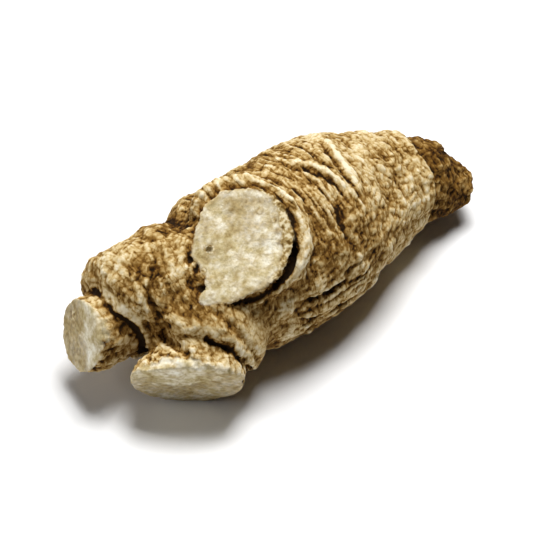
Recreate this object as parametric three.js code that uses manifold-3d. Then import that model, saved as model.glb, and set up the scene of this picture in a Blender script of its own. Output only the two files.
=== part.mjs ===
// A dried ginseng root of the short, thick "prong" form, lying on its belly.
// Millimetres, +Z up. The tail and the cut branches point to -X, the stem neck to +X.
// The origin is on the resting plane, under the middle of the root's box.
// The root grew as one piece, so it is one closed solid.

import * as THREE from 'three';
import { mergeVertices } from 'three/addons/utils/BufferGeometryUtils.js';
import Module from 'manifold-3d';

// ---------- driving dimensions ----------

const AXIS_HEIGHT = 9.1;        // axis of the thickest section above the resting plane
const BODY_CENTRE = [-0.7, 0.55]; // where the body's middle stands in X and Y
const BELLY_FLAT = 0.35;        // how much the dried belly is pressed flat

// Body sections from tail to neck: along, across, up, half width, half height.
const BODY_SECTIONS = [
  [-20.4, 3.9, 0.1, 3.0, 3.0],
  [-19.9, 3.8, 0.2, 4.6, 4.7],
  [-17.8, 3.3, 0.7, 5.6, 5.7],
  [-14.5, 2.1, 0.9, 6.9, 7.0],
  [-10.2, 0.4, 0.4, 8.8, 8.8],
  [-5.0, 0.1, 0.2, 9.6, 9.4],
  [0.0, -0.4, 0.1, 9.9, 9.5],
  [4.0, -0.2, -0.2, 9.7, 9.2],
  [8.0, 0.3, -0.7, 8.9, 8.6],
  [12.0, 0.6, -1.7, 7.8, 7.5],
  [15.0, 0.5, -2.4, 7.0, 6.7],
  [17.5, 0.2, -2.9, 5.8, 5.7],
  [19.5, -0.2, -3.1, 4.6, 4.6],
  [20.6, -0.4, -3.2, 3.0, 3.0],
];
const BODY_TAIL = -20.8;
const BODY_NECK = 21.1;
const TAIL_LEAN = 0.6;          // how far the tail end draws back on its front side
const TAIL_LEAN_FROM = -11;     // where that starts along the body
const BODY_ROWS = 60;
const END_CROWDING = 0.28;      // 0 spaces the rows evenly
const BODY_SEGMENTS = 46;

// Raised skin rings and the furrows between them. Angles run round the body in
// degrees: 0 is the top, 90 the front (-Y), 180 the belly. A negative height is a furrow.
// at, lean: place on the body at angle 0, and its shift towards +X per quarter turn.
const SKIN_FOLDS = [
  { at: 9.2, lean: -2.0, height: 0.6, width: 0.9, middle: 12, reach: 40 },
  { at: 7.5, lean: -1.0, height: -0.7, width: 0.7, middle: 18, reach: 50 },
  { at: 5.8, lean: 1.0, height: 0.55, width: 0.9, middle: 20, reach: 42 },
  { at: 3.8, lean: 1.0, height: -0.4, width: 0.9, middle: 0, reach: 60 },
  { at: 12.4, lean: -0.8, height: -0.35, width: 0.8, middle: 60, reach: 70 },
  { at: 15.4, lean: -0.6, height: -0.4, width: 0.7, middle: 20, reach: 90 },
  { at: 1.6, lean: 1.0, height: -0.4, width: 0.7, middle: -60, reach: 60 },
  { at: -2.2, lean: 0.5, height: -0.45, width: 0.8, middle: -90, reach: 60 },
  { at: -7.5, lean: -0.4, height: -0.45, width: 0.8, middle: -80, reach: 60 },
  { at: -14.5, lean: 0.4, height: -0.5, width: 0.9, middle: -50, reach: 70 },
  { at: 3.0, lean: 0.3, height: -0.4, width: 0.8, middle: 170, reach: 60 },
  { at: -5.5, lean: 0.3, height: -0.4, width: 0.8, middle: 200, reach: 60 },
  { at: 10.0, lean: 0.3, height: -0.4, width: 0.8, middle: 210, reach: 60 },
];

// Long creases that run with the body: angle in degrees, from and to along it.
const LONG_CREASES = [
  { angle: 84, from: -6, to: 6, depth: 0.8, width: 7 },
  { angle: 118, from: -8, to: 10, depth: 0.5, width: 9 },
  { angle: -40, from: -16, to: -4, depth: 0.5, width: 9 },
  { angle: -115, from: -12, to: 8, depth: 0.6, width: 10 },
];

// Limbs: cut tail, two cut branches and the stem neck. Each runs along an axis to
// its end; profile gives distance before the end and radius, from deep inside outwards.
// swell: times round the limb, share of the radius, and where it is widest in degrees.
// lips: places where the rim stands out or in: angle, share of the radius and width.
// Angles run round the axis from the side that faces the "up" direction.
const LIMBS = {
  tail: {
    end: [-23.0, 4.4, -0.9],
    along: [-0.93, 0.34, -0.05],
    up: [0, 0, 1],
    cutNormal: [-0.93, 0.24, 0.24],
    knifeRadius: 7,
    profile: [[-11, 3.6], [-7, 4.6], [-4.4, 4.3], [-3.6, 4.1], [-2, 4.0], [2.5, 3.9]],
    swell: [[2, 0.03, 20], [3, 0.03, 80]],
    lips: [],
    segments: 28,
  },
  front: {
    end: [-17.5, -5.9, -4.6],
    along: [-0.7, -0.49, -0.52],
    up: [0, 0, 1],
    cutNormal: [-0.62, -0.64, -0.4],
    knifeRadius: 9,
    profile: [[-14, 5.0], [-10.5, 6.8], [-7, 7.0], [-5.6, 6.8], [-4.9, 6.0], [-4.0, 5.7], [3.5, 5.7]],
    swell: [[2, 0.05, 90], [3, 0.02, 0]],
    lips: [],
    segments: 36,
  },
  top: {
    end: [-8.1, -3.6, 8.8],
    along: [-0.45, -0.35, 0.82],
    up: [-1, 0, 0],
    cutNormal: [-0.36, -0.42, 0.83],
    knifeRadius: 6.8,
    profile: [[-9, 4.5], [-4, 6.2], [-2.3, 6.9], [-1.6, 6.6], [-1.1, 5.2], [-0.5, 5.4], [2.5, 5.4]],
    swell: [[2, 0.08, -32], [3, 0.03, 40]],
    lips: [[-22, 0.16, 14], [6, -0.1, 14]],
    segments: 36,
  },
  neck: {
    end: [24.8, -3.0, -4.6],
    along: [0.87, -0.36, -0.33],
    up: [0, 0, 1],
    cutNormal: null,
    knifeRadius: 0,
    profile: [[-8, 3.8], [-4.6, 4.3], [-4.0, 3.8], [-3.2, 4.2], [-1.8, 3.9], [-0.7, 3.0], [0, 1.5]],
    swell: [[2, 0.05, 30], [3, 0.04, 70]],
    lips: [],
    segments: 28,
  },
};

const KNIFE_HEIGHT = 8;
const FLOOR_BLOCK = [80, 60, 20];

// ---------- small helpers ----------

const radians = THREE.MathUtils.degToRad;

// Smooth curve through a list of [x, value, value, ...] rows.
function throughRows(rows, x) {
  let i = rows.findIndex((row) => row[0] > x);
  if (i === -1) {
    i = rows.length;
  }
  const row = (k) => rows[THREE.MathUtils.clamp(k, 0, rows.length - 1)];
  const [before, start, end, after] = [row(i - 2), row(i - 1), row(i), row(i + 1)];
  const span = end[0] - start[0];
  const t = span > 0 ? (x - start[0]) / span : 0;
  return start.slice(1).map((value, k) => {
    const next = end[k + 1];
    const tangentIn = (next - before[k + 1]) / 2;
    const tangentOut = (after[k + 1] - value) / 2;
    const t2 = t * t;
    const t3 = t2 * t;
    return value * (2 * t3 - 3 * t2 + 1) + next * (3 * t2 - 2 * t3)
      + tangentIn * (t3 - 2 * t2 + t) + tangentOut * (t3 - t2);
  });
}

function angleBetween(a, b) {
  return Math.abs(THREE.MathUtils.euclideanModulo(a - b + 180, 360) - 180);
}

function bump(distance, width) {
  return Math.exp(-((distance / width) ** 2));
}

// ---------- the body ----------

// How far the skin stands from the plain section at a place along and round the body.
function skinRelief(along, angle) {
  let relief = 0;
  for (const fold of SKIN_FOLDS) {
    const away = angleBetween(angle, fold.middle);
    const turned = ((angle > 180 ? angle - 360 : angle) / 90) * fold.lean;
    const distance = along - fold.at - turned;
    relief += fold.height * bump(distance, fold.width) * bump(away, fold.reach);
  }
  for (const crease of LONG_CREASES) {
    const middle = (crease.from + crease.to) / 2;
    const half = (crease.to - crease.from) / 2;
    const inside = bump(along - middle, half);
    relief -= crease.depth * inside * bump(angleBetween(angle, crease.angle), crease.width);
  }
  return relief;
}

// Slow swelling of the section, so that it isn't an even oval.
function sectionSwell(along, angle) {
  const a = radians(angle);
  return 1 + 0.028 * Math.cos(2 * a - 0.9 + 0.06 * along)
    + 0.022 * Math.cos(3 * a + 0.8 - 0.11 * along)
    + 0.012 * Math.cos(5 * a + 0.23 * along);
}

function bodyGeometry() {
  const profile = [];
  for (let row = 0; row <= BODY_ROWS; row += 1) {
    // Rows crowd towards both ends, where the body rounds off.
    const even = row / BODY_ROWS;
    const crowded = (1 - Math.cos(Math.PI * even)) / 2;
    const share = THREE.MathUtils.lerp(even, crowded, END_CROWDING);
    const along = THREE.MathUtils.lerp(BODY_TAIL, BODY_NECK, share);
    const closes = row === 0 || row === BODY_ROWS;
    profile.push(new THREE.Vector2(closes ? 0 : 1, along));
  }
  const geometry = new THREE.LatheGeometry(profile, BODY_SEGMENTS);
  const position = geometry.getAttribute('position');
  for (let i = 0; i < position.count; i += 1) {
    const unit = Math.hypot(position.getX(i), position.getZ(i));
    const along = position.getY(i);
    const around = Math.atan2(position.getX(i), position.getZ(i));
    const angle = THREE.MathUtils.euclideanModulo(THREE.MathUtils.radToDeg(around), 360);
    const [across, up, halfWidth, halfHeight] = throughRows(BODY_SECTIONS, along);
    const swell = unit > 0 ? sectionSwell(along, angle) : 0;
    const relief = unit > 0 ? skinRelief(along, angle) : 0;
    const y = across - Math.sin(around) * (halfWidth * swell + relief) * unit;
    const z = up + Math.cos(around) * (halfHeight * swell + relief) * unit;
    const drawn = THREE.MathUtils.smoothstep(-along, -TAIL_LEAN_FROM, -BODY_TAIL);
    const front = (1 + Math.sin(around)) / 2;
    position.setXYZ(i, along + TAIL_LEAN * drawn * front * unit, y, z);
  }
  return geometry;
}

// ---------- limbs ----------

// Frame of a limb: its own axis is Y, and X is the side nearest to "up".
function limbFrame({ end, along, up }) {
  const axis = new THREE.Vector3(...along).normalize();
  const side = new THREE.Vector3(...up);
  side.addScaledVector(axis, -side.dot(axis)).normalize();
  const third = new THREE.Vector3().crossVectors(side, axis);
  return new THREE.Matrix4().makeBasis(side, axis, third).setPosition(...end);
}

function limbSwell({ swell, lips }, angle) {
  let share = 1;
  for (const [times, amount, widest] of swell) {
    share += amount * Math.cos(times * radians(angle - widest));
  }
  for (const [middle, amount, width] of lips) {
    share += amount * bump(angleBetween(angle, middle), width);
  }
  return share;
}

function limbGeometry(limb) {
  const { profile, segments } = limb;
  const outline = [new THREE.Vector2(0, profile[0][0])];
  for (const [before, radius] of profile) {
    outline.push(new THREE.Vector2(radius, before));
  }
  outline.push(new THREE.Vector2(0, profile[profile.length - 1][0]));
  const geometry = new THREE.LatheGeometry(outline, segments);
  const position = geometry.getAttribute('position');
  for (let i = 0; i < position.count; i += 1) {
    const [x, y, z] = [position.getX(i), position.getY(i), position.getZ(i)];
    const angle = THREE.MathUtils.radToDeg(Math.atan2(z, x));
    const share = limbSwell(limb, angle);
    position.setXYZ(i, x * share, y, z * share);
  }
  geometry.applyMatrix4(limbFrame(limb));
  return geometry;
}

// A round block that stands on the plane of the cut and takes away what is beyond it.
function knifeGeometry({ end, cutNormal, knifeRadius }) {
  const geometry = new THREE.CylinderGeometry(knifeRadius, knifeRadius, KNIFE_HEIGHT, 48);
  geometry.translate(0, KNIFE_HEIGHT / 2, 0);
  const normal = new THREE.Vector3(...cutNormal).normalize();
  const turn = new THREE.Quaternion().setFromUnitVectors(new THREE.Vector3(0, 1, 0), normal);
  geometry.applyQuaternion(turn);
  geometry.translate(...end);
  return geometry;
}

// ---------- joining ----------

const wasm = await Module();
wasm.setup();

function toSolid(geometry) {
  const bare = geometry.clone();
  bare.deleteAttribute('normal');
  bare.deleteAttribute('uv');
  const merged = mergeVertices(bare, 1e-4);
  const vertProperties = new Float32Array(merged.getAttribute('position').array);
  const corners = [];
  const index = merged.index.array;
  for (let i = 0; i < index.length; i += 3) {
    const [a, b, c] = [index[i], index[i + 1], index[i + 2]];
    if (a !== b && b !== c && c !== a) {
      corners.push(a, b, c);
    }
  }
  const mesh = new wasm.Mesh({ numProp: 3, vertProperties, triVerts: new Uint32Array(corners) });
  return new wasm.Manifold(mesh);
}

function toGeometry(solid) {
  const mesh = solid.getMesh();
  const geometry = new THREE.BufferGeometry();
  geometry.setAttribute('position', new THREE.BufferAttribute(mesh.vertProperties, 3));
  geometry.setIndex(new THREE.BufferAttribute(mesh.triVerts, 1));
  geometry.computeVertexNormals();
  return geometry;
}

function rootSolid() {
  const limbs = Object.values(LIMBS);
  let root = toSolid(bodyGeometry());
  for (const limb of limbs) {
    root = root.add(toSolid(limbGeometry(limb)));
  }
  for (const limb of limbs.filter(({ cutNormal }) => cutNormal)) {
    root = root.subtract(toSolid(knifeGeometry(limb)));
  }
  const floor = new THREE.BoxGeometry(...FLOOR_BLOCK);
  floor.translate(0, 0, -FLOOR_BLOCK[2] / 2 - AXIS_HEIGHT + BELLY_FLAT);
  return root.subtract(toSolid(floor));
}

const geometry = toGeometry(rootSolid());
geometry.translate(BODY_CENTRE[0], BODY_CENTRE[1], AXIS_HEIGHT - BELLY_FLAT);

const skin = new THREE.MeshStandardMaterial({ color: 0xa8875a, roughness: 0.85, metalness: 0 });
const root = new THREE.Mesh(geometry, skin);
root.name = 'ginseng_root';

const group = new THREE.Group();
group.add(root);

export default group;
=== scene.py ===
"""A dried ginseng root of the short, thick kind, lying on its belly on a pale floor.

The root is one piece. Its flesh, stumps, cut plate and stem neck are modelled as closed
forms, joined to one skin, and then wrinkled by listed folds and by fine noise.
Lengths in tables are millimetres from the middle of the body.
"""

import math

import bpy
import numpy as np
from mathutils import Matrix, Vector, noise


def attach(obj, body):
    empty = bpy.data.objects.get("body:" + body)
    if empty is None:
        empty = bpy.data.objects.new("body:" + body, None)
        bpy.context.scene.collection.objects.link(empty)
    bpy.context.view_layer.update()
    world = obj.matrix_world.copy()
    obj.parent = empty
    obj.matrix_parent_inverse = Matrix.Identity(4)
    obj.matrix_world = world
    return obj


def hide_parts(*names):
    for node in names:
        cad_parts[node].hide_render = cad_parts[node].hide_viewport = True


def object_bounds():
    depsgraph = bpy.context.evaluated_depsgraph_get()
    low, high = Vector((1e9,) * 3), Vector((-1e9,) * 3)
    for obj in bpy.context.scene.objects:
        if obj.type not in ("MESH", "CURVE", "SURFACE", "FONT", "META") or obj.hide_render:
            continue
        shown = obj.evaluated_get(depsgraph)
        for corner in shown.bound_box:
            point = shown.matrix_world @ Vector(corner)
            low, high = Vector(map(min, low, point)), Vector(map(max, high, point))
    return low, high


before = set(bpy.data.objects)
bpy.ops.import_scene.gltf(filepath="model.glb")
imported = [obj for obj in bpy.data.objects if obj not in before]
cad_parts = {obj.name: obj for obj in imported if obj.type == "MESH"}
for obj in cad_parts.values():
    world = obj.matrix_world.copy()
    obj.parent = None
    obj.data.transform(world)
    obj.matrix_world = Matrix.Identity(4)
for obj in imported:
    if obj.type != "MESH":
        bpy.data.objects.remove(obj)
cad_low, cad_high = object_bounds()

MM = 0.001

# ---------- where the root lies ----------

box_middle = (cad_low + cad_high) / 2
# The middle of the body, where the tables below have their zero.
BODY_MIDDLE = Vector((box_middle.x - 0.73 * MM, box_middle.y + 0.55 * MM, cad_low.z + 8.75 * MM))

# ---------- forms ----------

# Body from tail to neck: along, across, up, half width, half height.
BODY_RINGS = [
    (-20.1, 3.8, 0.3, 3.6, 3.7),
    (-19.9, 3.8, 0.3, 4.8, 5.0),
    (-19.0, 3.7, 0.9, 5.6, 5.8),
    (-17.6, 3.3, 1.2, 6.1, 6.3),
    (-14.5, 2.1, 0.9, 7.0, 7.1),
    (-10.2, 0.2, 0.3, 8.6, 8.7),
    (-5.0, -0.1, 0.0, 9.4, 9.4),
    (0.0, -0.6, 0.0, 9.7, 9.5),
    (4.0, -0.4, -0.2, 9.6, 9.4),
    (8.0, 0.2, -0.4, 9.1, 8.8),
    (12.0, 0.8, -1.2, 8.3, 7.7),
    (15.0, 0.8, -1.8, 7.3, 6.9),
    (17.5, 0.4, -2.3, 6.4, 6.1),
    (19.6, 0.0, -2.5, 5.3, 5.2),
    (20.8, -0.4, -2.7, 4.0, 4.1),
]

# A limb runs along its axis to its end. Its rings are the distance from the end and the
# radius. Angles run round the axis from the side that faces "up".
LIMBS = {
    "tail": dict(
        end=(-23.0, 4.4, -0.9), axis=(-0.93, 0.34, -0.05), up=(0, 0, 1),
        cut=(-0.93, 0.24, 0.24),
        rings=[(-9, 3.6), (-5.5, 4.0), (-3.6, 3.95), (-2.6, 4.0), (-1.0, 4.1), (0, 4.0)],
    ),
    "front": dict(
        end=(-17.5, -5.9, -4.6), axis=(-0.7, -0.49, -0.52), up=(0, 0, 1),
        cut=(-0.62, -0.64, -0.4),
        rings=[(-9, 4.6), (-5.5, 5.6), (-3.5, 5.6), (-1.2, 5.8), (0, 5.7)],
    ),
    "top": dict(
        end=(-8.1, -3.6, 8.8), axis=(-0.45, -0.35, 0.82), up=(-1, 0, 0),
        cut=(-0.36, -0.42, 0.83),
        rings=[(-4, 4.6), (-1.4, 4.9), (-0.8, 5.3), (0, 5.5)],
    ),
    "neck": dict(
        end=(25.13, -3.83, -5.78), axis=(0.78, -0.44, -0.45), up=(0, 0, 1),
        cut=None,
        rings=[
            (-9.5, 4.3), (-7.6, 4.7), (-6.0, 4.75), (-4.6, 4.35), (-3.8, 3.9), (-2.6, 3.25),
            (-1.6, 2.85), (-0.6, 2.4), (0, 1.8),
        ],
    ),
}
# Rings of the flesh that swells round the front stump and under the cut plate.
FRONT_LOBE = [(-14, 4.6), (-12, 6.2), (-9, 7.1), (-6.8, 7.2), (-5.2, 7.0), (-4.4, 6.6), (-4.2, 5.2)]
TOP_MOUND = [(-9, 4.2), (-6, 5.6), (-3.6, 6.6), (-2.0, 7.1), (-1.0, 7.2), (-0.6, 6.8), (-0.6, 6.0)]
# The skin that closes in on the tail stump, measured from its crevice.
TAIL_SLEEVE = [
    (-6, 4.9), (-4, 5.5), (-2.4, 5.5), (-1.4, 5.2), (-0.7, 4.85), (-0.15, 4.55), (0, 4.2), (0, 3.6),
]

# Outline of the plate where the top branch was cut: angle in degrees and radius.
PLATE_OUTLINE = [
    (-179, 5.7), (-158, 6.0), (-143, 5.8), (-121, 5.5), (-103, 5.3), (-79, 4.9), (-62, 4.7),
    (-50, 4.7), (-36, 4.4), (-22, 4.9), (-12, 5.0), (-4, 4.6), (4, 5.0), (10, 4.8), (15, 5.6),
    (19, 7.4), (24, 7.5), (33, 6.8), (42, 6.4), (59, 5.95), (79, 5.75), (95, 5.75), (110, 5.7),
    (124, 5.7), (141, 5.6), (158, 5.4), (172, 5.5),
]
# Outline of the front cut, in the same way.
FRONT_OUTLINE = [
    (-165, 5.1), (-139, 5.0), (-118, 5.3), (-85, 5.9), (-62, 6.4), (-45, 6.2), (-20, 5.7),
    (10, 5.6), (38, 6.1), (56, 6.5), (73, 5.9), (96, 5.2), (138, 4.9), (171, 4.9),
]

# Tan spots in the plate: angle, radius, size and strength.
PLATE_SPOTS = [
    (-18, 3.1, 0.9, 0.8), (-20, 3.2, 0.55, 1.6), (-12, 4.9, 0.5, 1.0), (4, 4.8, 0.45, 1.0),
    (14, 5.2, 0.4, 0.9), (-155, 3.0, 0.6, 0.6), (-165, 3.7, 0.55, 0.8), (171, 4.2, 0.5, 0.9),
    (155, 4.2, 0.6, 0.8), (138, 4.2, 0.5, 0.8), (-133, 5.5, 0.5, 0.8), (-147, 5.6, 0.5, 0.6),
    (-149, 1.4, 1.3, 0.35), (144, 2.4, 0.9, 0.4), (-95, 4.9, 0.5, 0.5),
]
# Pits in the skin at the plate's edge on the tail side: angle and radius.
EDGE_PITS = [(-15, 5.4), (-4, 5.2), (15, 6.2)]

# The thin crevices where the skin meets the two stumps: angle and distance past the cut end.
CREVICES = {
    "tail": [
        (-140, -5.3), (-75, -5.2), (-50, -4.7), (-37, -4.0), (-24, -3.3), (-3, -2.8), (33, -2.6),
        (60, -2.4), (84, -2.1), (110, -2.3),
    ],
    "front": [(-94, -0.8), (-84, -1.1), (-70, -2.3), (-48, -3.6), (-31, -4.1), (-12, -4.4)],
}

# The crease round a limb: how deep its middle and its wall lie below the limb's end, how
# steeply its outer wall opens, and how wide it is at the bottom. "towards" is an angle, how
# far the change there reaches, and the change of depth and of slope. "merged" is where the
# skin runs on over the stump: an angle, how far it reaches, and how much shallower it is.
CREASES = {
    "top": dict(middle=1.5, depth=0.9, slope=8.0, gap=0.02, towards=(115, 70, 1.4, -2.4)),
    "tail": dict(middle=4.9, depth=0.9, slope=6.5, gap=0.05),
    "front": dict(
        middle=4.0, depth=5.0, slope=2.6, gap=0.25, towards=(-100, 55, -0.8, 3.4),
        merged=(50, 56, 2.4),
    ),
}
SOCKET_TOP = 3.0

# Where the neck begins: angle and distance past its tip.
NECK_LINE = [
    (-160, -6.5), (-90, -8.3), (-20, -9.2), (10, -9.0), (23, -8.2), (47, -7.1), (68, -6.4),
    (96, -5.6), (140, -5.5),
]


def only(thing):
    """Selects this object alone and makes it the active one."""
    bpy.ops.object.select_all(action="DESELECT")
    thing.select_set(True)
    bpy.context.view_layer.objects.active = thing


def bump(distance, width):
    """1 where the distance is 0, falling off to both sides over the width."""
    return np.exp(-((distance / width) ** 2))


def smooth_step(value, low, high):
    """0 below the low value, 1 above the high one, and an even slope between them."""
    share = np.clip((value - low) / (high - low), 0, 1)
    return share * share * (3 - 2 * share)


def angle_between(a, b):
    """How far two angles in degrees are apart, with its sign."""
    return (a - b + 180) % 360 - 180


def limb_frame(limb):
    """The limb's own axes: X faces "up", Z runs along it, and the end is the origin."""
    axis = Vector(limb["axis"]).normalized()
    up = Vector(limb["up"])
    side = (up - axis * up.dot(axis)).normalized()
    turned = Matrix((side, axis.cross(side), axis)).transposed().to_4x4()
    return Matrix.Translation(BODY_MIDDLE + Vector(limb["end"]) * MM) @ turned


BODY_FRAME = Matrix.Translation(BODY_MIDDLE) @ Matrix(
    ((0, 0, 1, 0), (1, 0, 0, 0), (0, 1, 0, 0), (0, 0, 0, 1)))


def extruded(name, rings, sides, placing, shape=None):
    """A closed form that is extruded from ring to ring: along, sideways, up and two radii."""
    def centre(ring):
        return Vector((ring[1], ring[2], ring[0])) * MM
    bpy.ops.object.select_all(action="DESELECT")
    bpy.ops.mesh.primitive_circle_add(vertices=sides, radius=MM, fill_type="NGON")
    form = bpy.context.object
    form.name = name
    bpy.ops.object.mode_set(mode="EDIT")
    bpy.ops.mesh.select_all(action="SELECT")
    bpy.ops.transform.resize(value=(rings[0][3], rings[0][4], 1), center_override=(0, 0, 0))
    bpy.ops.transform.translate(value=centre(rings[0]))
    for ring, following in zip(rings, rings[1:]):
        step = centre(following) - centre(ring)
        bpy.ops.mesh.extrude_region_move(TRANSFORM_OT_translate={"value": step})
        growth = (following[3] / ring[3], following[4] / ring[4], 1)
        bpy.ops.transform.resize(value=growth, center_override=centre(following))
    bpy.ops.mesh.select_all(action="SELECT")
    bpy.ops.mesh.normals_make_consistent(inside=False)
    bpy.ops.object.mode_set(mode="OBJECT")
    if shape:
        for vertex in form.data.vertices:
            vertex.co = shape(vertex.co / MM) * MM
    form.matrix_world = placing
    bpy.ops.object.transform_apply(location=True, rotation=True, scale=True)
    return form


def applied(form, kind, **settings):
    """Adds one modifier to the form and applies it."""
    only(form)
    modifier = form.modifiers.new(kind.title(), kind)
    for setting, value in settings.items():
        setattr(modifier, setting, value)
    bpy.ops.object.modifier_apply(modifier=modifier.name)
    return form


def softened(form, levels):
    return applied(form, "SUBSURF", levels=levels, render_levels=levels)


def one_skin(name, forms, grain, times):
    """Joins forms that overlap into one closed skin of even small faces, and evens it out."""
    only(forms[0])
    if len(forms) > 1:
        for form in forms[1:]:
            form.select_set(True)
        bpy.ops.object.join()
    skin = bpy.context.object
    skin.name = name
    applied(skin, "REMESH", mode="VOXEL", voxel_size=grain * MM)
    applied(skin, "SMOOTH", factor=0.5, iterations=times)
    return skin


def on_limb(name, limb, rings, sides, shape):
    """A round form that is extruded along a limb: its rings are place and radius."""
    round_rings = [(along, 0, 0, radius, radius) for along, radius in rings]
    return extruded(name, round_rings, sides, limb_frame(limb), shape)


def polar(point):
    return math.degrees(math.atan2(point.y, point.x))


def read_off(table, angle):
    """A table's value at an angle, or at many."""
    angles, values = np.array(table, float).T
    return np.interp(angle, angles, values, period=360)


def plate_radius(angle):
    return read_off(PLATE_OUTLINE, angle)


def cut_slopes(limb):
    """How the cut plane falls away along the limb's own X and Y."""
    turned = limb_frame(limb).to_3x3().transposed() @ Vector(limb["cut"])
    return turned.x / turned.z, turned.y / turned.z


def tilted_end(limb, reach=3.0):
    """A shape that leans the rings near the limb's end into the plane of the cut."""
    slope_x, slope_y = cut_slopes(limb)
    def shape(point):
        share = max(0.0, 1 + point.z / reach)
        return point - Vector((0, 0, (slope_x * point.x + slope_y * point.y) * share))
    return shape


def plate_shape(point):
    """The cut plate follows its outline, and leans with the cut."""
    around = math.radians(polar(point))
    ragged = noise.noise(Vector((6.5 * math.cos(around), 6.5 * math.sin(around), 4.2)))
    share = (plate_radius(polar(point)) + 0.28 * ragged) / 5.5
    wide = Vector((point.x * share, point.y * share, point.z))
    return tilted_end(LIMBS["top"])(wide)


def mound_shape(point):
    """The skin round the plate stands up on its far side and is low on the tail side."""
    low_side = 1 - smooth_step(abs(angle_between(polar(point), 18)), 58, 106)
    share = 1 - 0.02 * math.cos(math.radians(2 * (polar(point) - 148))) - 0.12 * low_side
    share += 0.12 * bump(angle_between(polar(point), 140), 55) * smooth_step(-point.z, 1.0, 3.0)
    share += 0.16 * bump(angle_between(polar(point), 24), 16)
    drop = low_side * (1.5 - 0.9 * bump(angle_between(polar(point), 26), 30))
    drop *= smooth_step(point.z, -3.5, -1.0)
    return tilted_end(LIMBS["top"])(Vector((point.x * share, point.y * share, point.z - drop)))


def lobe_shape(point):
    """The front lobe is oval, and its skin runs further along the stump on one side."""
    point = oval(0.05, 90)(point)
    drawn = 1.75 * bump(angle_between(polar(point), -108), 66) * smooth_step(point.z, -8.0, -4.5)
    return point + Vector((0, 0, drawn))


def flared_shape(point):
    """The front stump widens to its cut's outline, and on the tail side it is slimmer further in."""
    slim = 0.42 * bump(angle_between(polar(point), 80), 52) * smooth_step(-point.z, 0.2, 4.0)
    share = 1 + (read_off(FRONT_OUTLINE, polar(point)) / 5.7 - 1) * smooth_step(point.z, -4.5, -0.5)
    point = Vector((point.x * (1 - slim) * share, point.y * (1 - slim) * share, point.z))
    return tilted_end(LIMBS["front"])(point)


def sleeve_shape(point):
    """The skin round the tail stump ends along its crevice."""
    return point + Vector((0, 0, read_off(CREVICES["tail"], polar(point))))


def oval(amount, widest, shape=None):
    """A shape that widens a limb towards one angle."""
    def widened(point):
        share = 1 + amount * math.cos(math.radians(2 * (polar(point) - widest)))
        point = Vector((point.x * share, point.y * share, point.z))
        return shape(point) if shape else point
    return widened


def wall_radius(name, angle):
    """The radius of a limb's own wall at its end, at many angles."""
    if name == "top":
        return plate_radius(angle)
    if name == "front":
        return read_off(FRONT_OUTLINE, angle)
    return LIMBS[name]["rings"][-1][1] + 0 * angle


def socket(name):
    """A cone that is taken out of the flesh, so that the limb stands in a crease."""
    crease, limb = CREASES[name], LIMBS[name]
    widest, width, deeper, steeper = crease.get("towards", (0, 1, 0, 0))
    merged, spread, shallower = crease.get("merged", (0, 1, 0))

    def shape(point):
        is_top, is_cap = point.z > 0, abs(point.z) > 1.5
        around = math.radians(polar(point))
        turned = bump(angle_between(polar(point), widest), width)
        depth = crease["depth"] + deeper * turned
        depth -= shallower * bump(angle_between(polar(point), merged), spread)
        if name == "tail":
            depth -= read_off(CREVICES["tail"], polar(point))
        wall = plate_radius(polar(point)) if name == "top" else limb["rings"][-1][1]
        along = SOCKET_TOP if is_top else -depth
        radius = wall + crease["gap"] + (along + depth) / (crease["slope"] + steeper * turned)
        if is_cap:
            along = SOCKET_TOP if is_top else -crease["middle"]
            radius = 0.1
        place = Vector((radius * math.cos(around), radius * math.sin(around), along))
        return tilted_end(limb)(place) if name == "top" else place
    return on_limb(name + "_socket", limb, [(-2, 0.1), (-1, 1), (1, 1), (2, 0.1)], 64, shape)


def cut_out(form, tool):
    """Takes the tool's space out of the form."""
    applied(form, "BOOLEAN", operation="DIFFERENCE", solver="EXACT", object=tool)
    bpy.data.objects.remove(tool)
    return form


def modelled_root():
    """The bare root: flesh first, then what stands out of it, as one closed skin."""
    tail, front, top, neck = (LIMBS[name] for name in ("tail", "front", "top", "neck"))
    body = softened(extruded("body", BODY_RINGS, 24, BODY_FRAME), levels=2)
    lobe = softened(on_limb("front_lobe", front, FRONT_LOBE, 32, lobe_shape), levels=1)
    flesh = one_skin("flesh", [body, lobe], grain=0.3, times=16)
    mound = on_limb("top_mound", top, TOP_MOUND, 48, mound_shape)
    sleeve = on_limb("tail_sleeve", tail, TAIL_SLEEVE, 48, sleeve_shape)
    flesh = one_skin("flesh", [flesh, mound, sleeve], grain=0.25, times=4)
    for name in CREASES:
        cut_out(flesh, socket(name))
    flesh = one_skin("flesh", [flesh], grain=0.22, times=2)
    plate = on_limb("top_plate", top, top["rings"], 96, plate_shape)
    tail_stump = on_limb("tail_stump", tail, tail["rings"], 36, oval(0.03, -20, tilted_end(tail)))
    front_stump = on_limb("front_stump", front, front["rings"], 40, flared_shape)
    stem_neck = on_limb("stem_neck", neck, neck["rings"], 28, oval(0.05, -30))
    return one_skin("dried_root", [flesh, plate, tail_stump, front_stump, stem_neck], grain=0.2, times=2)
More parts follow.
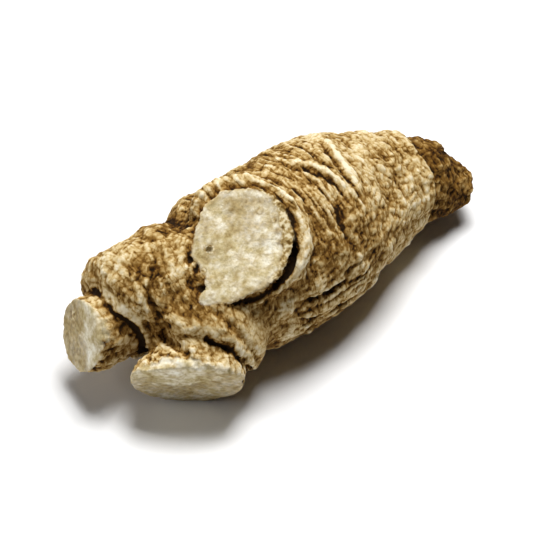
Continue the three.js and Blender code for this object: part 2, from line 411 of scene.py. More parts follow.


# ---------- sculpting ----------

# Folds and creases, one by one, in body places: (along, angle) pairs, where angle 0 is the top,
# 90 the front and 180 the belly. Height below zero is a crease. Both ends fade out. A worn
# fold is pale, and smoother than the skin round it.
BODY_FOLDS = [
    # the two pale rings on the shoulder and the dark crease between them
    dict(line=[(9.8, -15), (9.0, -2), (8.4, 10), (8.0, 22), (7.5, 37)],
         height=0.4, width=0.16, slope=0.6, worn=2.0),
    dict(line=[(9.1, -16), (8.3, -2), (7.75, 10), (7.3, 22), (6.9, 38)], height=-0.62, width=0.25),
    dict(line=[(3.4, -13), (4.5, -1), (5.4, 10), (6.0, 24), (6.4, 41)],
         height=0.36, width=0.2, slope=0.8, worn=1.7),
    dict(line=[(4.8, 28), (3.9, 37), (3.1, 47), (2.9, 57), (3.3, 69)], height=-0.55, width=0.5),
    dict(line=[(2.8, -8), (4.0, 2), (4.8, 12), (5.3, 24), (5.6, 40)], height=-0.55, width=0.28),
    dict(line=[(6.6, -34), (6.6, -16), (6.3, 0), (6.5, 14)], height=-0.5, width=0.36),
    # crowded rings beside the cut plate
    dict(line=[(0.6, -40), (1.0, -20), (1.7, 0), (2.2, 22)], height=-0.32, width=0.24),
    dict(line=[(2.4, -34), (2.9, -12), (3.3, 10), (3.5, 32), (3.2, 50)], height=-0.36, width=0.26),
    dict(line=[(-0.8, -34), (-0.2, -14), (0.6, 4), (1.1, 18)], height=-0.3, width=0.22),
    dict(line=[(1.6, 18), (2.0, 34), (1.8, 48)], height=-0.32, width=0.24),
    dict(line=[(2.5, 8), (2.5, 20), (2.3, 32), (1.9, 44)], height=0.2, width=0.2, worn=0.3),
    # the crease between the tail lobe and the front lobe
    dict(line=[(-17.7, 44), (-18.0, 58), (-18.1, 72), (-18.1, 88), (-18.8, 104)], height=-0.6, width=0.28),
    dict(line=[(-18.8, 54), (-19.0, 66), (-19.1, 80)], height=-0.25, width=0.2),
    # the soft crease above the front lobe
    dict(line=[(-14.2, 58), (-13.8, 70), (-12.9, 82), (-11.4, 97), (-10.2, 112)], height=-0.45, width=0.4),
    # the long crease on the front and the swollen belly below it
    dict(line=[(-5.4, 80), (-2.0, 85), (1.0, 86), (4.5, 90), (7.0, 86)], height=-0.5, width=0.36),
    dict(line=[(0.6, 80), (3.2, 77), (6.4, 80)], height=-0.3, width=0.3),
    dict(line=[(2.4, 95), (6.5, 103), (11.0, 110)], height=-0.42, width=0.4),
    dict(line=[(-7.4, 94), (-3.5, 101), (0.4, 103), (4.0, 112)], height=-0.42, width=0.4),
    dict(line=[(-7.0, 116), (-2.0, 120), (3.0, 126)], height=-0.4, width=0.5),
    # rings on the neck side
    dict(line=[(11.4, -50), (11.6, -10), (11.6, 30), (11.2, 70)], height=-0.2, width=0.4),
    dict(line=[(14.6, -60), (14.6, -10), (14.4, 40), (14.0, 90)], height=-0.26, width=0.45),
    dict(line=[(17.2, -70), (17.4, -20), (17.0, 30), (16.4, 90)], height=-0.26, width=0.45),
    dict(line=[(19.2, -60), (19.4, 0), (18.9, 50), (18.4, 104)], height=0.4, width=0.5, worn=0.5),
    # the back
    dict(line=[(2.0, -50), (1.6, -80), (1.0, -110), (1.4, -140)], height=-0.5, width=0.4),
    dict(line=[(-3.6, -60), (-4.2, -90), (-3.8, -125)], height=-0.45, width=0.4),
    dict(line=[(7.4, -60), (7.0, -95), (7.6, -130)], height=-0.45, width=0.4),
    dict(line=[(-9.4, -50), (-9.8, -85), (-9.2, -120)], height=-0.5, width=0.4),
    dict(line=[(-10.8, -10), (-10.0, -30), (-9.4, -60), (-9.2, -95)], height=-1.1, width=1.5),
    dict(line=[(-14.0, -60), (-14.4, -100), (-14.0, -150)], height=-0.5, width=0.4),
    dict(line=[(-13.0, -112), (-7.0, -118), (-1.0, -114), (4.0, -118)], height=-0.5, width=0.4),
    dict(line=[(3.4, -66), (3.0, -86), (3.2, -104)], height=0.35, width=0.3, slope=0.7, worn=0.7),
    # the belly
    dict(line=[(-9.0, 150), (-9.4, 175), (-9.0, -160)], height=-0.4, width=0.6),
    dict(line=[(-1.0, 145), (-0.6, 175), (-1.2, -155)], height=-0.45, width=0.6),
    dict(line=[(6.0, 140), (6.4, 175), (6.0, -150)], height=-0.4, width=0.6),
]

# The pale collar that stands round the cut plate: angle and radius of its crest.
COLLAR = [
    (-75, 6.1), (-86, 6.2), (-107, 6.4), (-125, 6.4), (-141, 6.6), (-157, 6.8), (-174, 6.7),
    (-188, 6.7), (-211, 6.7), (-225, 6.7), (-238, 6.9), (-254, 7.2), (-268, 7.6),
]

# Pale patches on the skin: along, angle, half length, half width and strength.
PALE_PATCHES = [
    (-18.5, 6.5, 0.45, 0.9, 1.3), (-18.2, -18, 1.2, 1.8, 0.5), (-14.7, 4, 0.3, 0.9, 0.8),
    (-14.7, 30, 0.8, 1.0, 0.7), (-6.1, 78, 0.9, 0.6, 0.6), (-16.9, 73, 0.6, 0.7, 0.7),
    (14.7, 82, 0.5, 0.8, 0.6), (18.2, 79, 0.4, 0.6, 0.7), (-16.9, 22, 0.4, 0.7, 0.6),
]

# Bands above the cuts where the skin is torn off: limb, angle, how far round and how wide.
PEELED_BANDS = [("front", 10, 46, 2.0), ("tail", -48, 40, 1.5)]

# Painted shade in the root's hollows, paler on its crests: share, reach in steps between vertices, and full
# depth.
PAINTED_HOLLOW_SHADE = [(0.36, 3, 0.08), (0.42, 14, 0.2), (0.40, 60, 0.5)]
SKIN_GRAIN = 0.21
BODY_RADIUS = 9.0


def points_of(piece):
    """The vertices in millimetres from the middle of the body."""
    points = np.empty(len(piece.data.vertices) * 3, np.float32)
    piece.data.vertices.foreach_get("co", points)
    return points.reshape(-1, 3).astype(float) / MM - np.array(BODY_MIDDLE) / MM


def normals_of(piece):
    normals = np.empty(len(piece.data.vertices) * 3, np.float32)
    piece.data.vertices.foreach_get("normal", normals)
    return normals.reshape(-1, 3).astype(float)


def placed(piece, points):
    where = (points + np.array(BODY_MIDDLE) / MM) * MM
    piece.data.vertices.foreach_set("co", where.astype(np.float32).ravel())
    piece.data.update()


def pushed_out(piece, heights):
    placed(piece, points_of(piece) + normals_of(piece) * heights[:, None])


def body_places(points):
    """Each point's place along the body, its angle round it, and the girth's radius there."""
    rings = np.array(BODY_RINGS)
    along = points[:, 0]
    across, up, wide, high = (np.interp(along, rings[:, 0], rings[:, k]) for k in (1, 2, 3, 4))
    angle = np.degrees(np.arctan2(across - points[:, 1], points[:, 2] - up))
    return along, angle, (wide + high) / 2


def own_places(points, limb):
    """The points on the limb's own axes, from its end."""
    turn = np.array(limb_frame(limb).inverted().to_3x3())
    return (points - np.array(limb["end"])) @ turn.T


def limb_places(points, limb):
    """Each point's distance past the limb's end, its radius and its angle round the axis."""
    x, y, past = own_places(points, limb).T
    return past, np.hypot(x, y), np.degrees(np.arctan2(y, x))


def fold_height(places, fold):
    """How far one fold lifts the skin. A fold with a slope is gentle on the neck side."""
    along, angle, radius = places
    line = np.array(fold["line"], float)
    middle = line[:, 1][len(line) // 2]
    girth = np.radians(angle_between(angle, middle)) * radius
    turned = np.radians(angle_between(line[:, 1], middle))
    stations = np.stack([line[:, 0], turned * BODY_RADIUS], axis=1)
    nearest = np.full(len(along), 1e6)
    share = np.zeros(len(along))
    side = np.zeros(len(along))
    for k in range(len(stations) - 1):
        start, reach = stations[k], stations[k + 1] - stations[k]
        away = np.stack([along, girth], axis=1) - start
        t = np.clip(away @ reach / (reach @ reach), 0, 1)
        distance = np.hypot(*(away - t[:, None] * reach).T)
        closer = distance < nearest
        nearest[closer] = distance[closer]
        share[closer] = (k + t[closer]) / (len(stations) - 1)
        side[closer] = (reach[1] * away[:, 0] - reach[0] * away[:, 1])[closer]
    fade = np.sqrt(np.clip(1 - (2 * share - 1) ** 2, 0, 1))
    width = np.where(side > 0, fold.get("slope", fold["width"]), fold["width"])
    return fold["height"] * fade * bump(nearest, width)


def noise_at(points, size, seed=0):
    """Smooth noise from -1 to 1. Size is how wide its swells are, in all or along each axis."""
    places = points / size + seed * np.array((17.31, -9.17, 5.73))
    return np.array([noise.noise(place) for place in places.tolist()])


def puffed(values, fullness=2.6):
    """Noise turned into round swells, from 0 in the sharp creases between them to 1."""
    return np.minimum(np.abs(values) * fullness, 1) ** 0.75


def cut_share(points, normals):
    """1 on the knife cuts, 0 on the skin."""
    share = np.zeros(len(points))
    for name, limb in LIMBS.items():
        if limb["cut"]:
            normal = np.array(Vector(limb["cut"]).normalized())
            past = (points - np.array(limb["end"])) @ normal
            _, radius, angle = limb_places(points, limb)
            inside = 1 - smooth_step(radius - wall_radius(name, angle), 0.0, 0.25)
            facing = smooth_step(normals @ normal, 0.45, 0.75)
            share = np.maximum(share, smooth_step(past, -0.4, -0.22) * inside * facing)
    return share


def limb_share(points, limb, start, soft=1.2):
    """1 on a limb's own wall, 0 on the body."""
    past, radius, _ = limb_places(points, limb)
    widest = max(row[1] for row in limb["rings"])
    return smooth_step(past, start - soft, start) * (1 - smooth_step(radius, widest + 0.9, widest + 1.6))


def neck_places(points):
    """How far past the line where the neck begins each point is, and 1 near the neck's axis."""
    past, radius, angle = limb_places(points, LIMBS["neck"])
    away = past - read_off(NECK_LINE, angle) + 0.4 * noise_at(points, 1.2, 17)
    return away, 1 - smooth_step(radius, 5.7, 6.4)


def collar_share(points):
    """1 along the collar, how far outside its crest each point is, and the angle there."""
    past, radius, angle = limb_places(points, LIMBS["top"])
    angles = np.array([row[0] for row in COLLAR][::-1], float)
    crests = np.array([row[1] for row in COLLAR][::-1], float)
    turned = np.where(angle > -40, angle - 360, angle)
    outside = radius - np.interp(turned, angles, crests)
    ends = smooth_step(turned, -276, -246) * (1 - smooth_step(turned, -96, -66))
    return ends * (1 - smooth_step(np.abs(past + 1), 2.4, 3.8)), outside, turned


def crevice_places(points, name):
    """How far past a crevice each point is, and 1 along the crevice, falling to 0 at its ends."""
    past, radius, angle = limb_places(points, LIMBS[name])
    angles, depths = np.array(CREVICES[name], float).T
    away = past - np.interp(angle, angles, depths) - 0.3 * noise_at(points, 1.4, 15)
    ends = smooth_step(angle, angles[0], angles[0] + 14)
    ends *= 1 - smooth_step(angle, angles[-1] - 14, angles[-1])
    widest = max(row[1] for row in LIMBS[name]["rings"])
    return away, ends * (1 - smooth_step(radius, widest + 1.3, widest + 1.9))


def crevice_share(points, width):
    """1 in the thin crevice round the front stump, falling to 0 beside it."""
    away, ends = crevice_places(points, "front")
    return ends * bump(away, width)


def under_lip(points):
    """1 between the tail stump and the lip of skin round it, where shade is painted."""
    away, ends = crevice_places(points, "tail")
    _, radius, _ = limb_places(points, LIMBS["tail"])
    return ends * smooth_step(-away, -0.3, 0.05) * (1 - smooth_step(radius, 4.2, 4.45)) * (away > -3)


def pale_patch_share(points):
    """1 in the pale patches, which have ragged edges."""
    along, angle, radius = body_places(points)
    ragged = 0.35 * noise_at(points, 0.7, 16)
    share = np.zeros(len(points))
    for place, turn, length, width, strength in PALE_PATCHES:
        away = np.hypot((along - place) / length, np.radians(angle_between(angle, turn)) * radius / width)
        share = np.maximum(share, strength * (1 - smooth_step(away + ragged, 0.4, 1.1)))
    return share


def wear_and_highlight_share(points):
    """Where the skin is pale and smooth: worn folds, the collar, both lips and the pale patches. The
    paleness of the tail's lip is a painted highlight.
    """
    places = body_places(points)
    share = np.zeros(len(points))
    for fold in BODY_FOLDS:
        if "worn" in fold:
            share = np.maximum(share, fold_height(places, dict(fold, height=fold["worn"], slope=0.27)))
    ends, outside, turned = collar_share(points)
    pale = 0.3 + 0.75 * bump(turned + 195, 48)
    share = np.maximum(share, pale * ends * bump(outside + 0.1, 0.4))
    away, ends = crevice_places(points, "front")
    _, radius, angle = limb_places(points, LIMBS["front"])
    lip = ends * bump(away + 0.7, 0.36) * bump(angle_between(angle, -60), 30)
    share = np.maximum(share, 0.9 * lip * (radius > 5.4))
    # Painted highlight: the lip of skin round the tail stump is painted pale.
    away, ends = crevice_places(points, "tail")
    _, radius, angle = limb_places(points, LIMBS["tail"])
    lip = ends * bump(away + 0.42, 0.5) * bump(angle_between(angle, -28), 28)
    share = np.maximum(share, 2.9 * lip * smooth_step(radius, 4.1, 4.3))
    share = np.maximum(share, pale_patch_share(points))
    return share * (0.75 + 0.7 * noise_at(points, 1.1, 13))


def band_share(points):
    """1 on the band of skin that is drawn tight round the front stump."""
    past, radius, angle = limb_places(points, LIMBS["front"])
    reach = smooth_step(past, -9.0, -7.0) * (1 - smooth_step(radius, 7.8, 9.0))
    return reach * bump(angle_between(angle, -75), 55)


def away_from(points, name, angle, radius):
    """Each point's distance from a place on a limb's end, and how far past the end it is."""
    past, own_radius, own_angle = limb_places(points, LIMBS[name])
    around, centre = np.radians(own_angle), math.radians(angle)
    return np.hypot(own_radius * np.cos(around) - radius * math.cos(centre),
                    own_radius * np.sin(around) - radius * math.sin(centre)), past


def pit_share(points):
    """1 in the pits at the plate's edge."""
    share = np.zeros(len(points))
    for angle, radius in EDGE_PITS:
        away, past = away_from(points, "top", angle, radius)
        share = np.maximum(share, bump(away, 0.34) * (past > -4))
    return share


def broad_relief(points):
    """Swells, folds, crevices, the neck's step and the collar: what is wider than the skin's grain."""
    places = body_places(points)
    height = 0.4 * noise_at(points, (6.5, 6, 6), 1) + 0.3 * noise_at(points, (2.6, 3.2, 3.2), 2)
    height -= 0.3 * bump(angle_between(places[1], -85), 55)
    for fold in BODY_FOLDS:
        height += fold_height(places, fold)
    height -= 0.35 * crevice_share(points, 0.24)
    height -= 0.8 * pit_share(points)
    away, near = neck_places(points)
    height -= near * (0.4 * bump(away - 0.1, 0.35) + 0.25 * smooth_step(away, -0.2, 0.2))
    ends, outside, turned = collar_share(points)
    worn_away = np.clip(0.55 + 1.3 * noise_at(points, 1.5, 12), 0, 1.2)
    raised = 0.16 + 0.24 * bump(turned + 195, 45)
    second = bump(turned + 168, 34)
    pale_rings = raised * bump(outside, 0.22) + 0.24 * second * bump(outside - 0.75, 0.2)
    gaps = 0.3 * second * bump(outside - 0.42, 0.15) + 0.4 * bump(outside - 1.3, 0.35)
    return height + ends * (pale_rings * worn_away - gaps)


def ring_places(points):
    """The place across the rings: along the body, but bowed round the plate and the front lobe."""
    across = points[:, 0].copy()
    _, radius, angle = limb_places(points, LIMBS["top"])
    share = (1 - smooth_step(radius, 7.5, 12.5)) * bump(angle_between(angle, 180), 80)
    across += share * (LIMBS["top"]["end"][0] + 0.89 * radius - across)
    past, radius, angle = limb_places(points, LIMBS["front"])
    share = smooth_step(past, -10.5, -7.5) * (1 - smooth_step(radius, 7.6, 9.2))
    return across + share * (past - across)


def crests(values, sharpness=2.6):
    """Noise turned into thin crests: 1 on a crest, 0 between them."""
    return np.maximum(1 - np.abs(values) * sharpness, 0)


def skin_relief(points):
    """Rings, the wrinkles that cross them, lumps and grain, each where the root has most of it."""
    along, angle, _ = body_places(points)
    lobe = 1 - smooth_step(along, -13.0, -8.5)
    knit = smooth_step(along, 6.5, 9.5)
    low = bump(angle_between(angle, 105), 26) * smooth_step(along, -8, -5) * (1 - smooth_step(along, 9, 13))
    unlined = smooth_step(angle, 34, 62) * (1 - smooth_step(angle, 140, 170))
    lined = (1 - 0.85 * unlined) * (1 - 0.8 * knit) * (1 - 0.7 * lobe)
    sway = noise_at(points, (4, 5, 5), 3)
    jitter = noise_at(points, (1.2, 2.2, 2.2), 4)
    across = ring_places(points)
    wave = across / 0.86 + 1.2 * sway + 0.5 * jitter
    ring = np.abs(np.sin(np.pi * wave)) ** 0.7
    second = np.abs(np.sin(np.pi * (across / 0.55 + 1.6 * jitter + 2.1 * sway)))
    strength = 0.25 + 0.75 * smooth_step(noise_at(points, (2.2, 3.0, 3.0), 5), -0.3, 0.3)
    rings = (0.06 + 0.115 * lined) * (ring - 0.7) * strength + 0.05 * (second - 0.6) * lined
    cells = puffed(noise_at(points + 0.5 * sway[:, None], (1.05, 0.8, 0.8), 7), 2.2)
    columns = (0.13 + 0.05 * knit) * (cells - 0.65) * (1 - 0.5 * lined)
    lumps = 0.15 * (puffed(noise_at(points, (1.9, 2.1, 2.1), 8), 1.9) - 0.55)
    lumps += (0.06 + 0.10 * lobe) * (crests(noise_at(points, (1.5, 1.8, 1.8), 14), 2.4) - 0.3)
    creased = (0.08 + 0.3 * low) * crests(noise_at(points, (6.0, 1.7, 1.7), 9), 3.4)
    wrinkled = (0.05 + 0.09 * lined) * crests(noise_at(points, (0.9, 3.4, 3.4), 10), 3.2)
    grain = 0.06 * noise_at(points, 0.36, 11)
    tight = 1 - 0.75 * band_share(points)
    return (rings + columns + lumps - creased + wrinkled) * tight + grain


def limb_relief(points, limb, seed):
    """Stumps have long fibres, faint rings and a fine grain."""
    own = own_places(points, limb)
    fibres = 0.16 * (puffed(noise_at(own, (0.9, 0.9, 3.5), seed)) - 0.7)
    rings = 0.14 * (puffed(noise_at(own, (3.5, 3.5, 0.9), seed + 1)) - 0.7)
    lumps = 0.24 * noise_at(own, 2.0, seed + 2)
    grain = 0.1 * noise_at(own, 0.4, seed + 3)
    return fibres + rings + lumps + grain


def scaly_relief(points):
    """The stem neck is rough and scaly, with pits between the scales."""
    scales = 0.27 * (puffed(noise_at(points, (1.5, 1.3, 1.3), 40), 1.8) - 0.6)
    flakes = 0.15 * crests(noise_at(points, 0.9, 41), 2.6)
    pits = 0.2 * smooth_step(noise_at(points, 1.1, 42), 0.18, 0.42)
    return scales + flakes - pits + 0.1 * noise_at(points, 0.4, 43)


def peeled_share(points):
    """1 where the skin is torn off a stump in a band above its cut."""
    share = np.zeros(len(points))
    ragged = 0.9 * noise_at(points, 0.8, 50)
    for name, middle, spread, wide in PEELED_BANDS:
        limb = LIMBS[name]
        past, radius, angle = limb_places(points, limb)
        slope_x, slope_y = cut_slopes(limb)
        around = np.radians(angle)
        past = past + radius * (slope_x * np.cos(around) + slope_y * np.sin(around))
        torn = 0.6 - wide * bump(angle_between(angle, middle), spread) + ragged
        near = (radius < limb["rings"][-1][1] + 0.9) * (past < 0.6)
        share = np.maximum(share, smooth_step(past, torn - 0.12, torn + 0.12) * near)
    return share


def cut_relief(points):
    """Dry cut flesh: nearly flat, with a shallow unevenness and a crumbly grain."""
    return (0.14 * noise_at(points, 2.6, 30) + 0.07 * noise_at(points, 0.9, 31)
            + 0.04 * noise_at(points, 0.35, 32))


def fine_relief(points, normals):
    """The relief of the skin, the stumps, the neck and the cuts, each on its own ground."""
    height = skin_relief(points) * (1 - 0.35 * np.clip(wear_and_highlight_share(points), 0, 1))
    for number, (name, start) in enumerate((("tail", -3.2), ("front", -3.9))):
        share = limb_share(points, LIMBS[name], start)
        height += share * (limb_relief(points, LIMBS[name], 60 + 5 * number) - height)
    away, near = neck_places(points)
    height += near * smooth_step(away, -0.5, 0.5) * (scaly_relief(points) - height)
    height -= 0.08 * peeled_share(points)
    share = cut_share(points, normals)
    return height + share * (cut_relief(points) - height)


def stain_share(points):
    """Tanned flesh: the plate's rim on the neck side, spots in it, and the weathered lower cuts."""
    past, radius, angle = limb_places(points, LIMBS["top"])
    around = np.radians(angle)
    inside = plate_radius(angle) - radius
    ragged = 0.5 * noise_at(points, 0.8, 51)
    tanned = 0.2 + 0.8 * (1 - smooth_step(np.abs(angle_between(angle, 165)), 70, 105))
    rim_width = 0.45 + 0.95 * bump(angle_between(angle, 142), 34)
    share = tanned * (1 - smooth_step(inside + ragged, rim_width - 0.2, rim_width + 0.3))
    far_side = smooth_step(-radius * np.cos(around - math.radians(50)), -1.5, 1.5)
    share = np.maximum(share, 0.62 * far_side * crests(noise_at(points, 3.2, 56), 3.8))
    for spot_angle, spot_radius, size, strength in PLATE_SPOTS:
        away, _ = away_from(points, "top", spot_angle, spot_radius)
        share = np.maximum(share, strength * (1 - smooth_step(away + 0.4 * ragged, 0.4 * size, size)))
    share *= (radius < 8) * (np.abs(past) < 2)
    weathered = (0.5 + 0.4 * noise_at(points, 1.3, 54)) * (1 - peeled_share(points))
    _, tail_radius, tail_angle = limb_places(points, LIMBS["tail"])
    pale_side = smooth_step(tail_radius * np.cos(np.radians(tail_angle + 45)) + ragged, 0.6, 1.8)
    weathered += (tail_radius < 6) * (0.12 - 0.9 * pale_side)
    return np.where((radius < 8) & (past > -3), share, np.clip(weathered, 0, 1))


def shading(points):
    """How much darker each place is than the skin's middle tone, and how strong its contrast. Much of the
    darkening is painted shade: in crevices, pits and creases, under the plate's edge, at the neck's line
    and on the low side.
    """
    places = body_places(points)
    along, angle, _ = places
    knit = smooth_step(along, 6.0, 9.0)
    low = bump(angle_between(angle, 140), 45) * smooth_step(along, -12, -4)
    left = 1 - smooth_step(along, -13.0, -8.5)
    away, near = neck_places(points)
    neck = near * smooth_step(away, -0.2, 0.3)
    tail = limb_share(points, LIMBS["tail"], -3.4, 0.5)
    # Painted shade: the low front side is darker and has more contrast.
    shade = 0.02 - 0.12 * knit + 0.08 * low + 0.03 * tail - 0.24 * wear_and_highlight_share(points)
    shade += (0.10 + 0.16 * left + 0.12 * low) * noise_at(points, 3.5, 53)
    shade -= 0.05 * band_share(points)
    # Painted shade: dark in the crevice round the front stump, under the lip round the tail stump and in
    # the pits at the plate's edge.
    shade += 0.55 * crevice_share(points, 0.26) + 1.1 * under_lip(points) + 0.35 * pit_share(points)
    past, radius, around = limb_places(points, LIMBS["top"])
    # Painted shadow: the skin just below the plate's edge is darkened.
    below_plate = (past < -0.2) * (past > -3) * bump(angle_between(around, 95), 75)
    shade += 0.85 * below_plate * bump(radius - plate_radius(around) - 0.12, 0.28)
    # Painted shade along the line where the neck meets the body.
    shade += 0.3 * near * bump(away + 0.1, 0.5)
    # Painted shade along the deeper creases.
    for fold in BODY_FOLDS:
        if fold["height"] <= -0.5:
            shade += fold_height(places, dict(fold, height=0.18))
    contrast = 1.0 - 0.1 * knit + 0.2 * low
    return shade + neck * (0.22 - shade), contrast + neck * (0.5 - contrast)


def edge_ends(piece):
    ends = np.empty(len(piece.data.edges) * 2, np.int32)
    piece.data.edges.foreach_get("vertices", ends)
    return ends.reshape(-1, 2).T


def evened(values, ends, times):
    """Each row becomes the mean of its neighbours', this many times over."""
    one, other = ends
    count = len(values)
    neighbours = np.bincount(one, minlength=count) + np.bincount(other, minlength=count)
    for _ in range(times):
        total = np.stack([np.bincount(one, column[other], count) + np.bincount(other, column[one], count)
                          for column in values.T], axis=1)
        values = 0.5 * values + 0.5 * total / neighbours[:, None]
    return values


def hollowness(piece, times, depth):
    """How deep each vertex lies among its neighbours: 0.5 is level, 1 a crease, 0 a crest."""
    points, normals = points_of(piece), normals_of(piece)
    below = ((evened(points, edge_ends(piece), times) - points) * normals).sum(1)
    return np.clip(0.5 + 0.5 * below / depth, 0, 1)


def kept(piece, name, values):
    """Keeps one number per vertex for the materials."""
    attribute = piece.data.attributes.new(name, "FLOAT", "POINT")
    attribute.data.foreach_set("value", np.asarray(values, np.float32))


def pressed_on_floor(points, soft=0.25):
    """The belly is pressed flat where the root rests."""
    floor = -BODY_MIDDLE.z / MM
    above = points[:, 2] - floor
    pressed = (above + np.sqrt(above ** 2 + soft ** 2)) / 2
    points[:, 2] = floor + pressed - pressed.min()
    return points


# The broad relief comes first, then new even faces that can carry the fine one. The paint
# is worked out between the two, while each place's distance from the cuts is still plain.
root = modelled_root()
points = points_of(root)
pushed_out(root, broad_relief(points) * (1 - cut_share(points, normals_of(root))))
applied(root, "REMESH", mode="VOXEL", voxel_size=SKIN_GRAIN * MM)
applied(root, "SMOOTH", factor=0.5, iterations=1)
points, normals = points_of(root), normals_of(root)
bare = np.maximum(cut_share(points, normals), peeled_share(points))
stained = stain_share(points)
shade, contrast = shading(points)
pushed_out(root, fine_relief(points, normals))
placed(root, pressed_on_floor(points_of(root)))
# Painted shade: the tone is darker in the hollows and paler on the crests, and the shading worked out above
# is added to it.
depth = sum(share * hollowness(root, times, full) for share, times, full in PAINTED_HOLLOW_SHADE)
kept(root, "flesh", bare)
kept(root, "stain", stained)
kept(root, "tone", 0.54 + contrast * (depth - 0.59) + shade)
only(root)
bpy.ops.object.shade_smooth()

# ---------- materials ----------

# Colours from the palest tone to the darkest: position and red, green and blue.
SKIN_TONES = [
    (0.02, (0.84, 0.74, 0.53)), (0.2, (0.70, 0.565, 0.33)), (0.35, (0.57, 0.42, 0.195)),
    (0.50, (0.38, 0.235, 0.076)), (0.66, (0.20, 0.10, 0.019)), (0.86, (0.065, 0.025, 0.004)),
    (0.98, (0.018, 0.009, 0.003)),
]
# Colours of the cut flesh: its clouds, its crumbs, where it is weathered, and its dotted rim.
FLESH_TONES = [
    (0.36, (0.40, 0.30, 0.13)), (0.44, (0.60, 0.50, 0.28)), (0.52, (0.78, 0.70, 0.51)),
    (0.62, (0.94, 0.90, 0.77)),
]
CRUMB_TONES = [(0.34, (0.70, 0.64, 0.50)), (0.56, (1.0, 1.0, 1.0))]
WEATHERED_TONES = [(0.35, (0.19, 0.12, 0.04)), (0.65, (0.52, 0.39, 0.19))]
DOTTED_TONES = [(0.38, (0.13, 0.07, 0.015)), (0.50, (0.40, 0.28, 0.11)), (0.60, (0.72, 0.62, 0.40))]
VEIN_COLOUR = (0.46, 0.34, 0.16, 1)
BURNT_COLOUR = (0.075, 0.045, 0.01, 1)
SKIN_ROUGHNESS = 0.95
SKIN_SPECULAR = 0.08
GRIT_HEIGHT = 0.12 * MM


class Finish:
    """A Principled material whose nodes are added one by one."""

    def __init__(self, name):
        self.material = bpy.data.materials.new(name)
        self.material.use_nodes = True
        self.tree = self.material.node_tree
        self.shader = self.tree.nodes["Principled BSDF"]

    def node(self, kind, **settings):
        node = self.tree.nodes.new(kind)
        for setting, value in settings.items():
            setattr(node, setting, value)
        return node

    def feed(self, socket, value):
        """Links a socket to another's output, or gives it a plain value."""
        if isinstance(value, bpy.types.NodeSocket):
            self.tree.links.new(value, socket)
        else:
            socket.default_value = value

    def attribute(self, name):
        """A number that each vertex carries."""
        return self.node("ShaderNodeAttribute", attribute_name=name).outputs["Fac"]

    def math(self, operation, *values, clamp=False):
        node = self.node("ShaderNodeMath", operation=operation, use_clamp=clamp)
        for socket, value in zip(node.inputs, values):
            self.feed(socket, value)
        return node.outputs["Value"]

    def noise(self, size, stretch=(1, 1, 1), detail=2.0, roughness=0.5):
        """Noise with swells of this size in millimetres, stretched along the axes."""
        coordinates = self.node("ShaderNodeTexCoord").outputs["Object"]
        sized = self.node("ShaderNodeVectorMath", operation="MULTIPLY")
        self.feed(sized.inputs[0], coordinates)
        sized.inputs[1].default_value = tuple(1 / (size * MM * k) for k in stretch)
        texture = self.node("ShaderNodeTexNoise")
        self.feed(texture.inputs["Vector"], sized.outputs["Vector"])
        texture.inputs["Scale"].default_value = 1.0
        texture.inputs["Detail"].default_value = detail
        texture.inputs["Roughness"].default_value = roughness
        return texture.outputs["Fac"]

    def swing(self, texture, strength):
        """Noise round zero."""
        return self.math("MULTIPLY", self.math("SUBTRACT", texture, 0.5), strength)

    def thin_line(self, texture, peak, sharpness):
        """A thin line along the noise's middle value, falling from the peak to 0 beside it."""
        bend = self.math("ABSOLUTE", self.math("SUBTRACT", texture, 0.5))
        return self.math("SUBTRACT", peak, self.math("MULTIPLY", bend, sharpness), clamp=True)

    def ramp(self, value, stops):
        node = self.node("ShaderNodeValToRGB")
        self.feed(node.inputs["Fac"], value)
        while len(node.color_ramp.elements) < len(stops):
            node.color_ramp.elements.new(0.5)
        for element, (position, colour) in zip(node.color_ramp.elements, stops):
            element.position = position
            element.color = (*colour, 1)
        return node.outputs["Color"]

    def mix(self, share, one, other, blend="MIX"):
        node = self.node("ShaderNodeMix", data_type="RGBA", blend_type=blend)
        self.feed(node.inputs["Factor"], share)
        self.feed(node.inputs["A"], one)
        self.feed(node.inputs["B"], other)
        return node.outputs["Result"]


def skin_colour(finish):
    """The skin's tone carries painted shade from its hollows, with fine, medium and broad blotches, and
    thin dark lines painted as the shade of fine creases.
    """
    fine = finish.swing(finish.noise(0.5, detail=3.0), 0.55)
    patch = finish.swing(finish.noise(1.6), 0.75)
    blotch = finish.swing(finish.noise(3.4), 0.35)
    fleck = finish.noise(0.8, detail=2.0, roughness=0.6)
    dark_fleck = finish.math("MULTIPLY", finish.math("SUBTRACT", 0.42, fleck, clamp=True), 1.6)
    pale_fleck = finish.math("MULTIPLY", finish.math("SUBTRACT", fleck, 0.58, clamp=True), 1.4)
    tone = finish.math("ADD", finish.math("ADD", finish.attribute("tone"), fine), patch)
    tone = finish.math("SUBTRACT", tone, 0.03)
    tone = finish.math("ADD", finish.math("ADD", tone, blotch), dark_fleck)
    # Painted shade: thin dark lines laid over the skin as the shade of fine creases.
    for size, stretch in ((1.5, (1, 1, 1)), (1.1, (0.6, 2.2, 2.2))):
        crease_shade_line = finish.thin_line(finish.noise(size, stretch, detail=1.0), 1.0, 24.0)
        tone = finish.math("ADD", tone, finish.math("MULTIPLY", crease_shade_line, 0.16))
    return finish.ramp(finish.math("SUBTRACT", tone, pale_fleck, clamp=True), SKIN_TONES)


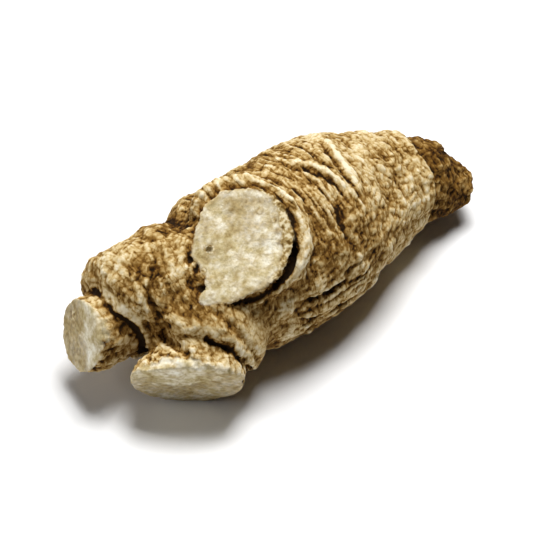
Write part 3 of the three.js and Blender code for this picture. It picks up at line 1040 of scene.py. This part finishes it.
def flesh_colour(finish):
    """Clouded, crumbly flesh with tan veins, and the stains that the vertices carry."""
    clouds = finish.math("MULTIPLY", finish.noise(1.1, detail=4.0, roughness=0.6), 0.5)
    swells = finish.math("MULTIPLY", finish.noise(3.2, detail=2.0), 0.5)
    flesh = finish.ramp(finish.math("ADD", clouds, swells), FLESH_TONES)
    vein = finish.thin_line(finish.noise(2.6, detail=3.0), 0.5, 11.0)
    flesh = finish.mix(vein, flesh, VEIN_COLOUR)
    crumbs = finish.ramp(finish.noise(0.45, detail=3.0, roughness=0.6), CRUMB_TONES)
    flesh = finish.mix(0.8, flesh, crumbs, "MULTIPLY")
    weathered = finish.ramp(finish.noise(0.5, detail=3.0), WEATHERED_TONES)
    dotted = finish.ramp(finish.noise(0.6, detail=2.0), DOTTED_TONES)
    stain = finish.attribute("stain")
    strong = finish.math("MULTIPLY", finish.math("SUBTRACT", stain, 0.65), 4.0, clamp=True)
    tan = finish.mix(strong, weathered, dotted)
    flesh = finish.mix(finish.math("MINIMUM", stain, 1.0), flesh, tan)
    burnt = finish.math("MULTIPLY", finish.math("SUBTRACT", stain, 1.0), 1.6, clamp=True)
    return finish.mix(burnt, flesh, BURNT_COLOUR)


def dried_skin():
    """Skin and cut flesh in one material: the vertices say which of them is bare."""
    finish = Finish("dried_root_skin")
    colour = finish.mix(finish.attribute("flesh"), skin_colour(finish), flesh_colour(finish))
    finish.feed(finish.shader.inputs["Base Color"], colour)
    grit = finish.node("ShaderNodeBump")
    grit.inputs["Distance"].default_value = GRIT_HEIGHT
    finish.feed(grit.inputs["Height"], finish.noise(0.3, detail=4.0, roughness=0.6))
    finish.feed(finish.shader.inputs["Normal"], grit.outputs["Normal"])
    finish.shader.inputs["Roughness"].default_value = SKIN_ROUGHNESS
    finish.shader.inputs["Specular IOR Level"].default_value = SKIN_SPECULAR
    return finish.material


root.data.materials.clear()
root.data.materials.append(dried_skin())

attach(root, "root")
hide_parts("ginseng_root")

# ---------- stage ----------

FLOOR_SIZE = 1.2
FLOOR_COLOUR = (0.85, 0.85, 0.85, 1)
ROOM_LIGHT = 0.7

bpy.ops.mesh.primitive_plane_add(size=FLOOR_SIZE, location=(0, 0, 0))
floor = bpy.context.object
floor.name = "floor"
paper = bpy.data.materials.new("paper")
paper.use_nodes = True
paper.node_tree.nodes["Principled BSDF"].inputs["Base Color"].default_value = FLOOR_COLOUR
floor.data.materials.append(paper)

world = bpy.data.worlds.new("soft_room")
bpy.context.scene.world = world
world.use_nodes = True
world.node_tree.nodes["Background"].inputs["Strength"].default_value = ROOM_LIGHT


def lamp(name, size, energy, place):
    """A square lamp at this place that faces the root."""
    light = bpy.data.lights.new(name, "AREA")
    light.size = size
    light.energy = energy
    holder = bpy.data.objects.new(name, light)
    bpy.context.collection.objects.link(holder)
    holder.location = place
    holder.rotation_euler = Vector(place).to_track_quat("Z", "Y").to_euler()


lamp("overhead", size=0.2, energy=3.0, place=(0.10, 0.04, 0.45))
lamp("tail_side", size=0.25, energy=0.7, place=(-0.40, 0.22, 0.22))

# ---------- camera ----------

AZIMUTH = math.radians(-42.6)
ELEVATION = math.radians(45)
DISTANCE = 0.46
VIEW_WIDTH = 0.05597
AIM_RIGHT = -0.66 * MM
AIM_UP = -2.27 * MM

camera = bpy.data.cameras.new("camera")
camera.lens = camera.sensor_width * DISTANCE / VIEW_WIDTH
camera_object = bpy.data.objects.new("camera", camera)
bpy.context.collection.objects.link(camera_object)
level = math.cos(ELEVATION)
back = Vector((math.sin(AZIMUTH) * level, -math.cos(AZIMUTH) * level, math.sin(ELEVATION)))
right = Vector((math.cos(AZIMUTH), math.sin(AZIMUTH), 0))
aim = BODY_MIDDLE + right * AIM_RIGHT + back.cross(right) * AIM_UP
camera_object.location = aim + back * DISTANCE
camera_object.rotation_euler = back.to_track_quat("Z", "Y").to_euler()
bpy.context.scene.camera = camera_object
bpy.context.scene.view_settings.view_transform = "Standard"
